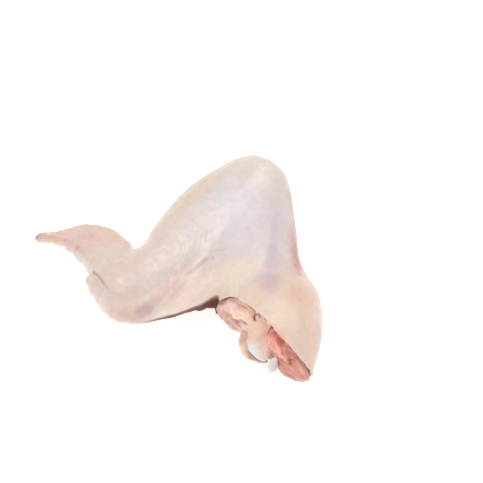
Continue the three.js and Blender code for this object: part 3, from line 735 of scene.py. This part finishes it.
red_points, red_marks = flesh_grid(RED_RIM, (38.6, 13.0), (38, 16, 13), 1.7, red_relief)
red_tint = stroke_tint(rgb(210, 142, 127), [
    ((42.0, 9.0), (46.0, 8.0), 7.0, rgb(197, 124, 108), 0.85),  # smooth salmon end
    ((40.0, 5.6), (46.0, 6.6), 1.8, rgb(196, 128, 116), 0.8),
    ((28.4, 18.4), (32.0, 16.8), 1.6, rgb(228, 172, 150), 0.95),  # pale strand on the left
    ((31.8, 13.0), (35.6, 11.6), 1.6, rgb(234, 172, 152), 0.85),
    ((32.4, 17.0), (36.4, 17.6), 1.6, rgb(236, 160, 144), 0.95),  # salmon strand, painted brighter as a highlight
    ((36.4, 14.6), (40.6, 15.6), 1.1, rgb(240, 184, 164), 0.95),  # light strand across
    ((39.0, 19.0), (40.8, 18.2), 0.8, rgb(226, 148, 136), 0.9),
    ((28.2, 21.0), (31.2, 23.2), 1.5, rgb(196, 118, 102), 0.95),  # painted shade in the gap under the lip of the skin
    ((31.2, 23.2), (34.8, 22.0), 1.4, rgb(204, 106, 98), 0.95),
    ((34.8, 22.0), (36.6, 20.4), 1.1, rgb(200, 108, 98), 0.95),
    ((36.6, 20.6), (41.4, 18.6), 0.8, rgb(190, 128, 112), 0.9),  # painted shade, a brown line along the lip
    # painted shade in the ragged step
    ((37.3, 18.2), (37.9, 16.6), 0.7, rgb(204, 118, 106), 0.9),
    ((40.6, 17.0), (41.8, 14.8), 1.2, rgb(180, 106, 90), 0.95),  # painted shade in the dark hollow
    ((41.8, 17.6), (44.4, 18.0), 0.7, rgb(172, 110, 94), 0.9),
    ((27.6, 20.2), (28.4, 22.4), 0.5, rgb(246, 180, 160), 0.9),  # painted highlight on the corner of the gap
    ((44.6, 17.8), (50.0, 13.4), 1.1, rgb(198, 158, 140), 0.9),  # thin fat along the edge
    ((50.4, 10.0), (47.4, 6.2), 1.0, rgb(206, 162, 148), 0.8),
    ((35.6, 7.0), (36.8, 4.0), 1.5, rgb(188, 152, 132), 0.9),  # brownish grey corner
    ((39.6, 8.6), (40.6, 7.4), 1.1, rgb(192, 122, 110), 0.6),
], red_marks, 0.8 * drift(red_points, 2.6, 25))
fibre = flat_noise((red_marks @ np.array([0.9, -0.43])) / 4.0, red_marks @ np.array([0.43, 0.9]), 0.6, 27)
red_tint = red_tint * (1 + 0.07 * fibre + 0.06 * noise(red_points, 1.8, 28))[..., None]
red_tint = in_the_light(red_tint, 1.06, 1.04, 1.0)
red = closed_mesh("muscle_red", red_points, red_tint)
red.data.materials.append(flesh_material(
    "red_muscle", roughness=0.36, glow=0.16, depth=0.0014, mottle=0.06, mottle_size=1.3,
    bump_layers=(("cloud", 0.35, 0.05), ("cloud", 1.2, 0.12)), coat=0.25))
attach(red, "root")
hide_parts("muscle_outer")

# ---- Pale muscle ---------------------------------------------------------------------------------
# The smaller muscle at the front of the upper arm. It is paler, with white strands of sheath across it, a
# fold under the edge of the skin painted dark as shade, and a patch of yellow fat.

PALE_RIM = [(0.6, 0.1, 7.6), (0.6, 0.1, 11.0), (1.4, 0.1, 13.8), (5.2, -0.3, 19.0), (11.8, -0.5, 23.6),
            (17.6, -0.5, 24.5), (22.8, -0.8, 24.8), (23.2, -0.9, 18.0), (20.4, -0.9, 11.0),
            (16.2, -0.2, 7.6), (11.6, -0.2, 5.2), (6.4, -0.2, 4.6), (2.4, 0, 5.2)]
PALE_FURROWS = [
    ((1.6, 12.8), (7.6, 20.6), 0.4, 1.1),  # fold under the skin
    ((9.6, 21.6), (14.5, 22.6), 0.7, 0.8),
    ((14.5, 22.6), (19.0, 23.4), 0.8, 0.8),
    ((21.2, 23.4), (22.4, 23.8), 1.7, 0.9),
    ((9.0, 11.6), (12.4, 13.6), 0.35, 0.9),  # groove below the white sheath
    ((12.4, 13.6), (16.6, 17.0), 0.45, 0.9),
    ((14.8, 13.2), (15.6, 13.6), 0.6, 0.7),
    ((9.4, 18.6), (12.6, 17.2), -0.6, 1.1),  # raised strands
    ((12.6, 17.2), (17.6, 18.8), -0.6, 1.1),
    ((3.4, 14.8), (7.0, 19.2), -0.3, 1.4),
    ((6.6, 13.4), (10.2, 14.8), -0.5, 1.6),
]


def pale_relief(s, z, f):
    """Soft strands across the face, lumps, and the furrows, all fading out at the rim."""
    a, b = s * 0.96 + z * 0.28, -s * 0.28 + z * 0.96
    strands = 0.34 * flat_noise(a / 3.0, b, 1.7, 31) + 0.14 * flat_noise(a / 2.6, b, 0.7, 32)
    lumps = 0.45 * flat_noise(s, z, 3.6, 33) + 0.2 * flat_noise(s, z, 1.5, 34)
    return (strands + lumps - furrows(s, z, PALE_FURROWS)) * np.clip((1 - f) * 7, 0, 1)


pale_points, pale_marks = flesh_grid(PALE_RIM, (10.6, 12.6), (27, 10, 11), 1.5, pale_relief)
pale_tint = stroke_tint(rgb(228, 180, 165), [
    ((16.0, 21.0), (21.0, 17.5), 3.4, rgb(232, 196, 172), 0.95),  # tan fat towards the joint
    ((9.6, 20.4), (13.0, 20.8), 1.6, rgb(226, 186, 170), 0.9),
    ((4.4, 14.8), (9.4, 19.6), 1.9, rgb(235, 203, 193), 0.95),  # white membrane at the web
    ((2.8, 12.6), (4.6, 14.8), 1.2, rgb(242, 210, 204), 0.9),
    ((5.2, 9.0), (10.4, 9.6), 2.6, rgb(210, 156, 142), 0.9),  # salmon round the fat
    ((6.8, 13.2), (10.2, 14.6), 2.2, rgb(200, 144, 104), 0.95),  # yellow fat
    ((9.8, 18.4), (13.0, 17.0), 1.1, rgb(254, 221, 206), 0.95),  # white strand of sheath, painted brighter as a highlight
    ((13.0, 17.0), (17.2, 18.9), 1.1, rgb(254, 221, 206), 0.95),
    ((12.4, 19.4), (14.6, 20.0), 1.1, rgb(246, 210, 188), 0.8),
    ((10.2, 12.4), (13.0, 13.9), 1.1, rgb(216, 166, 156), 0.95),  # pink streak
    ((13.0, 13.9), (16.6, 16.8), 0.9, rgb(216, 168, 158), 0.9),
    ((16.2, 16.4), (16.8, 16.8), 0.6, rgb(190, 140, 132), 0.8),
    ((14.9, 13.0), (15.5, 13.4), 0.8, rgb(186, 148, 136), 0.9),
    ((16.6, 14.6), (18.6, 15.2), 1.2, rgb(234, 198, 186), 0.8),
    ((1.4, 13.0), (4.4, 17.8), 1.2, rgb(172, 130, 120), 0.95),  # shaded wedge under the skin
    ((4.4, 17.8), (8.4, 21.6), 1.0, rgb(188, 146, 136), 0.9),
    ((9.6, 21.8), (14.5, 22.8), 0.9, rgb(206, 162, 150), 0.9),  # painted shade along the fold under the skin's edge
    ((14.5, 22.8), (19.6, 23.6), 0.9, rgb(210, 168, 154), 0.9),
    ((20.4, 23.0), (22.8, 23.8), 1.3, rgb(112, 58, 42), 0.95),  # dark spot, its own colour darkened further as painted shade in the crevice
    ((0.6, 6.0), (0.8, 11.0), 0.9, rgb(190, 148, 140), 0.85),  # shaded lower edge
    ((1.0, 6.2), (12.0, 6.0), 1.3, rgb(200, 160, 148), 0.8),
], pale_marks, 0.8 * drift(pale_points, 2.4, 35))
pale_speck = 1 + 0.045 * noise(pale_points, 1.2, 37) + 0.035 * noise(pale_points, 0.5, 38)
pale_tint = pale_tint * pale_speck[..., None]
pale_tint = in_the_light(pale_tint, 0.95, 0.93, 0.91)
pale = closed_mesh("muscle_pale", pale_points, pale_tint)
pale.data.materials.append(flesh_material(
    "pale_muscle", roughness=0.38, glow=0.2, depth=0.0016, mottle=0.05, mottle_size=1.2,
    bump_layers=(("cloud", 0.35, 0.05), ("cloud", 1.1, 0.1)), coat=0.25))
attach(pale, "root")
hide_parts("muscle_inner")

# ---- Fat round the joint -------------------------------------------------------------------------
# Fat that hangs as a tongue from the skin between the muscles, with a grey membrane on its left, and
# curls as a soft cream fold round the head of the bone.

FAT_RIM = [(18.4, -0.3, 20.6), (20.6, -0.3, 24.4), (23.2, -0.5, 26.0), (26.0, -0.5, 26.4),
           (28.0, -0.4, 25.2), (28.0, 0, 22.8), (28.0, 0, 19.6), (30.8, 0, 15.6), (33.8, 0, 10.6),
           (32.6, 0, 7.4), (27.0, 0, 5.2), (20.4, 0, 4.2), (16.0, 0, 5.0), (15.0, 0.1, 8.6),
           (16.6, 0.1, 14.0)]


def fat_relief(s, z, f):
    """A bed for the flap of skin above, a hollow with a raised rim for the bone's head, and a dip for the
    membrane."""
    flat = np.stack([s, z], axis=-1)
    hollow = 0.3 * bell(np.hypot(s - 26.4, z - 9.4), 3.0, 4)
    rim = 2.1 * bell(np.hypot(s - 26.4, z - 9.8) - 4.7, 1.6)
    rim = rim + 1.2 * near_line(flat, (31.2, 13.6), (33.2, 8.6), 1.6)
    bed = 0.5 * near_line(flat, (26.4, 27.0), (25.4, 22.5), 3.0, 4)
    film = furrows(s, z, [((16.4, 6.5), (18.0, 11.0), 0.5, 1.6)])
    lumps = 0.3 * flat_noise(s, z, 3.6, 41) + 0.16 * flat_noise(s, z, 1.4, 42)
    return (rim - bed - hollow - film + lumps) * np.clip((1 - f) * 7, 0, 1)


fat_points, fat_marks = flesh_grid(FAT_RIM, (23.2, 13.6), (31, 0, 12), 1.5, fat_relief)
fat_tint = stroke_tint(rgb(233, 200, 178), [
    ((23.0, 24.0), (28.0, 22.0), 3.4, rgb(231, 187, 165), 0.95),  # joins the flap of skin
    ((26.2, 21.8), (28.8, 16.4), 2.0, rgb(236, 176, 154), 0.95),  # orange pink by the red muscle
    ((28.4, 15.6), (31.2, 11.6), 1.6, rgb(242, 198, 178), 0.95),
    ((20.4, 20.4), (21.6, 15.6), 2.2, rgb(231, 195, 173), 0.9),
    ((30.6, 12.6), (33.0, 7.6), 2.3, rgb(240, 208, 198), 0.95),
    ((24.0, 14.6), (29.4, 14.2), 1.2, rgb(238, 208, 190), 0.8),
    ((25.6, 13.2), (29.6, 10.6), 2.0, rgb(240, 222, 218), 0.95),  # whitish beside the bone
    ((17.0, 12.6), (19.0, 8.8), 2.1, rgb(196, 164, 148), 0.95),  # grey membrane
    ((16.6, 3.6), (24.0, 2.4), 1.6, rgb(226, 198, 172), 0.8),
], fat_marks, 0.7 * drift(fat_points, 2.6, 45))
fat_tint = fat_tint * (1 + 0.035 * noise(fat_points, 1.6, 47) + 0.02 * noise(fat_points, 0.6, 48))[..., None]
fat_tint = in_the_light(fat_tint, 0.92, 0.90, 0.90)
fat = closed_mesh("fat_tongue", fat_points, fat_tint)
fat_finish = flesh_material(
    "fat", roughness=0.42, glow=0.24, depth=0.0018, mottle=0.03, mottle_size=1.5,
    bump_layers=(("cloud", 0.5, 0.04), ("cloud", 1.6, 0.1)), coat=0.2)
fat.data.materials.append(fat_finish)
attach(fat, "root")
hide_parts("joint_fat")


def fold_tube(points, radii, cols, rows):
    """A round section carried along a smooth path. Its radius follows its own smooth path and goes to
    nothing at both ends, as the square root of the sine of the share within the end."""
    t = (1 - np.cos(np.linspace(0.03, np.pi - 0.03, rows))) / 2
    line = through(np.asarray(points, float), t)
    radius = through(np.column_stack([radii, np.arange(len(radii))]), t)[:, 0]
    for end in (t, 1 - t):
        radius = radius * np.sin(np.minimum(1, end * 9) * np.pi / 2) ** 0.5
    ahead = np.gradient(line, axis=0)
    ahead /= np.linalg.norm(ahead, axis=1, keepdims=True)
    over = np.cross(ahead, outward)
    over /= np.linalg.norm(over, axis=1, keepdims=True)
    front = np.cross(over, ahead)
    angle = np.arange(cols) * 2 * np.pi / cols
    ring = np.cos(angle)[:, None] * over[:, None] + np.sin(angle)[:, None] * front[:, None]
    return line[:, None] + radius[:, None, None] * ring


# Path round the head, as place along the cut, lift out of it and height, and the radius at each point.
FOLD_PATH = np.array([(17.8, 3.0, 12.6), (18.5, 4.8, 9.6), (20.2, 6.4, 6.7), (22.6, 7.4, 4.9),
                      (25.8, 7.2, 5.0), (28.8, 6.6, 6.0), (31.8, 5.4, 7.0)])
FOLD_RADII = [1.3, 2.2, 2.6, 2.1, 1.3, 0.95, 0.7]
fold_points = fold_tube(on_cut(*FOLD_PATH.T), FOLD_RADII, 72, 110)
fold_lumps = 0.3 * noise(fold_points, 2.8, 63) + 0.12 * noise(fold_points, 1.1, 64)
fold_points = fold_points - ring_normals(fold_points) * fold_lumps[..., None]
fold_tint = stroke_tint(rgb(234, 212, 188), [
    ((16.6, 14.5), (18.8, 10.6), 2.0, rgb(203, 172, 156), 0.95),  # grey where the membrane runs into it
    ((20.6, 8.6), (22.6, 7.6), 1.0, rgb(238, 208, 186), 0.9),  # peach side
    ((23.2, 7.8), (24.8, 6.0), 0.9, rgb(188, 138, 116), 0.95),  # painted shade where it meets the bone
    # painted shade along the fold beneath the bone's head
    ((24.8, 5.8), (28.8, 6.8), 0.9, rgb(196, 158, 144), 0.9),
    ((28.8, 6.6), (31.8, 7.4), 1.1, rgb(196, 164, 152), 0.9),
    ((24.4, 3.6), (30.0, 4.9), 0.7, rgb(216, 198, 180), 0.8),
    ((17.4, 5.0), (20.6, 3.4), 1.2, rgb(222, 210, 186), 0.7),
], on_plane(fold_points), 0.4 * drift(fold_points, 2, 65))
fold_tint = in_the_light(fold_tint * (1 + 0.04 * noise(fold_points, 1.2, 67))[..., None], 0.92, 0.92, 0.93)
fold = closed_mesh("fat_fold", fold_points, fold_tint)
fold.data.materials.append(fat_finish)
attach(fold, "root")

# ---- Humerus -------------------------------------------------------------------------------------
# The bone of the upper arm. Its head is capped with smooth bluish white cartilage; the shaft runs inside
# the flesh to the knuckle at the elbow.

HEAD_CENTRE = on_cut(26.6, 4.5, 9.2)
HEAD_RADIUS = 5.2
KNUCKLE = np.array([28.5, 35.0, 12.0])
bone_axis = (KNUCKLE - HEAD_CENTRE) / np.linalg.norm(KNUCKLE - HEAD_CENTRE)
bone_side = np.cross(bone_axis, [0, 0, 1.0])
bone_side /= np.linalg.norm(bone_side)
bone_up = np.cross(bone_side, bone_axis)


def bone_rings(cols):
    """A profile turned round the bone's axis: a round head, a straight shaft and a round knuckle. The head
    bulges in two low lobes with a shallow groove between."""
    cap = np.linspace(0.03, np.arccos(-np.sqrt(HEAD_RADIUS ** 2 - 3.4 ** 2) / HEAD_RADIUS), 60)
    end = np.linspace(0.7, np.pi - 0.05, 16)
    radius = np.concatenate([HEAD_RADIUS * np.sin(cap), [3.4, 3.4], 5.5 * np.sin(end)])
    reach = np.concatenate([-HEAD_RADIUS * np.cos(cap), [20.3, 40.6], 58 - 5.5 * np.cos(end)])
    angle = np.arange(cols) * 2 * np.pi / cols
    lobes = 1 + 0.045 * np.cos(2 * angle + 0.6)[None] * np.clip(1 - reach / 4, 0, 1)[:, None]
    around = np.cos(angle)[:, None] * bone_side + np.sin(angle)[:, None] * bone_up
    girth = (radius[:, None] * lobes)[..., None]
    return HEAD_CENTRE + bone_axis * reach[:, None, None] + around[None] * girth


bone_points = bone_rings(120)
bone_stand = (bone_points - cut_from) @ outward
worn = 0.55 * np.maximum(0, bone_stand - 6.4)  # the cap is worn flat
bone_points = bone_points - outward * worn[..., None]
bone_points[..., 2] += 0.3 * np.maximum(0, 8.4 - bone_points[..., 2]) * ease(bone_stand, -3, 0)
bone_lumps = 0.16 * noise(bone_points, 3, 51) + 0.05 * noise(bone_points, 1.2, 52)
bone_points = bone_points + ring_normals(bone_points) * bone_lumps[..., None]
bone_tint = stroke_tint(rgb(226, 206, 198), [
    ((24.0, 12.6), (26.4, 8.6), 3.0, rgb(218, 213, 219), 1.0),  # bluish cap
    ((24.4, 6.6), (29.0, 8.4), 0.8, rgb(228, 202, 198), 0.7),  # pinkish lower part
    # darker along the bottom, painted shade where it meets the fold
    ((24.6, 5.6), (31.0, 6.8), 0.6, rgb(200, 172, 166), 0.8),
], on_plane(bone_points), 0.6 * drift(bone_points, 2, 55))
bone_tint = in_the_light(bone_tint, 0.98, 0.99, 1.0)
bone = closed_mesh("bone_head", bone_points, bone_tint)
bone.data.materials.append(flesh_material(
    "cartilage", roughness=0.45, glow=0.3, depth=0.0018, mottle=0.02, mottle_size=2.0,
    bump_layers=(("cloud", 0.8, 0.04), ("cloud", 2.5, 0.1)), coat=0.08))
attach(bone, "root")
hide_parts("humerus")

# ---- Cartilage chip ------------------------------------------------------------------------------
# A thin white chip of cartilage, sheared off the joint, that stands on its edge between the bone and the
# red muscle.


def chip_rings(start, end, half, thick, cols, rows):
    """An oval plate: rings across a straight axis whose girth is a half circle to the power 0.4, pinched to
    the plate's thickness."""
    start, end = np.asarray(start, float), np.asarray(end, float)
    axis = end - start
    across = np.array([-axis[1], axis[0], 0]) / np.hypot(axis[0], axis[1])
    lift = np.cross(axis, across) / np.linalg.norm(axis)
    share = (1 - np.cos(np.linspace(0.02, np.pi - 0.02, rows))) / 2
    girth = (4 * share * (1 - share)) ** 0.4
    angle = np.arange(cols) * 2 * np.pi / cols
    return (start + axis * share[:, None, None] + across * (half * girth[:, None] * np.cos(angle))[..., None]
            + lift * (thick * girth[:, None] * np.sin(angle))[..., None])


CHIP_ROWS = 60
chip_points = chip_rings(on_cut(34.4, 4.8, 13.2), on_cut(35.8, 7.6, 4.6), 1.9, 1.2, 64, CHIP_ROWS)
chip_lean = 0.9 * np.linspace(1, -1, CHIP_ROWS)[:, None, None]
chip_lumps = 0.6 * noise(chip_points, 3.0, 61) + 0.15 * noise(chip_points, 1.3, 62)
chip_points = chip_points + along * chip_lean + ring_normals(chip_points) * chip_lumps[..., None]
chip_tint = stroke_tint(rgb(231, 215, 210), [
    ((32.0, 9.0), (34.6, 4.0), 2.0, rgb(232, 231, 233), 0.95),
    ((32.6, 11.6), (33.4, 8.6), 0.6, rgb(190, 164, 172), 0.8),
], on_plane(chip_points), 0.0)
chip = closed_mesh("cartilage_chip", chip_points, in_the_light(chip_tint, 0.9, 0.9, 0.92))
chip.data.materials.append(bone.data.materials[0])
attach(chip, "root")
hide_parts("cartilage_scrap")

# ---- Floor, lights and camera --------------------------------------------------------------------
# A plain white floor under soft light from all round, seen steeply from the front through a long lens.

floor_mesh = bpy.data.meshes.new("floor")
floor_mesh.from_pydata([(-2, -2, 0), (2, -2, 0), (2, 2, 0), (-2, 2, 0)], [], [(0, 1, 2, 3)])
floor = bpy.data.objects.new("floor", floor_mesh)
bpy.context.scene.collection.objects.link(floor)
white = bpy.data.materials.new("floor_white")
white.use_nodes = True
white_shader = white.node_tree.nodes["Principled BSDF"]
white_shader.inputs["Base Color"].default_value = (0.95, 0.95, 0.95, 1)
white_shader.inputs["Roughness"].default_value = 0.8
white_shader.inputs["Emission Color"].default_value = (1, 1, 1, 1)
white_shader.inputs["Emission Strength"].default_value = 0.58
floor.data.materials.append(white)

world = bpy.data.worlds.new("studio")
world.use_nodes = True
world.node_tree.nodes["Background"].inputs["Color"].default_value = (1.0, 0.995, 0.985, 1)
world.node_tree.nodes["Background"].inputs["Strength"].default_value = 0.50
bpy.context.scene.world = world


def soft_light(name, place, target, size, power):
    """A square area light that faces its target."""
    data = bpy.data.lights.new(name, "AREA")
    data.size = size
    data.energy = power
    lamp = bpy.data.objects.new(name, data)
    lamp.location = place
    aim = np.array(target) - np.array(place)
    lamp.rotation_euler = Vector(aim.tolist()).to_track_quat("-Z", "Y").to_euler()
    bpy.context.scene.collection.objects.link(lamp)
    return lamp


soft_light("key", (-0.22, 0.12, 0.9), (0, 0, 0), 0.4, 5.8)
soft_light("fill", (0.6, 0.0, 0.6), (0, 0, 0), 0.6, 1.4)

# The picture is 483 pixels wide at 2.5 pixels a millimetre, and its middle shows a point 12 mm up.
VIEW_WIDTH = 483 / 2.5
VIEW_DISTANCE = 3.0
ELEVATION = np.radians(60)
SENSOR = 36
camera_data = bpy.data.cameras.new("camera")
camera_data.sensor_width = SENSOR
camera_data.lens = SENSOR * VIEW_DISTANCE * 1000 / VIEW_WIDTH
camera_data.clip_end = 20
camera = bpy.data.objects.new("camera", camera_data)
aim_at = (np.array([24.6, 13.12, 12.0]) + MIDDLE) * 0.001
camera.location = aim_at + VIEW_DISTANCE * np.array([0, -np.cos(ELEVATION), np.sin(ELEVATION)])
camera.rotation_euler = (np.pi / 2 - ELEVATION, 0, 0)
bpy.context.scene.collection.objects.link(camera)
bpy.context.scene.camera = camera
bpy.context.scene.view_settings.view_transform = "Standard"
bpy.context.scene.view_settings.look = "None"
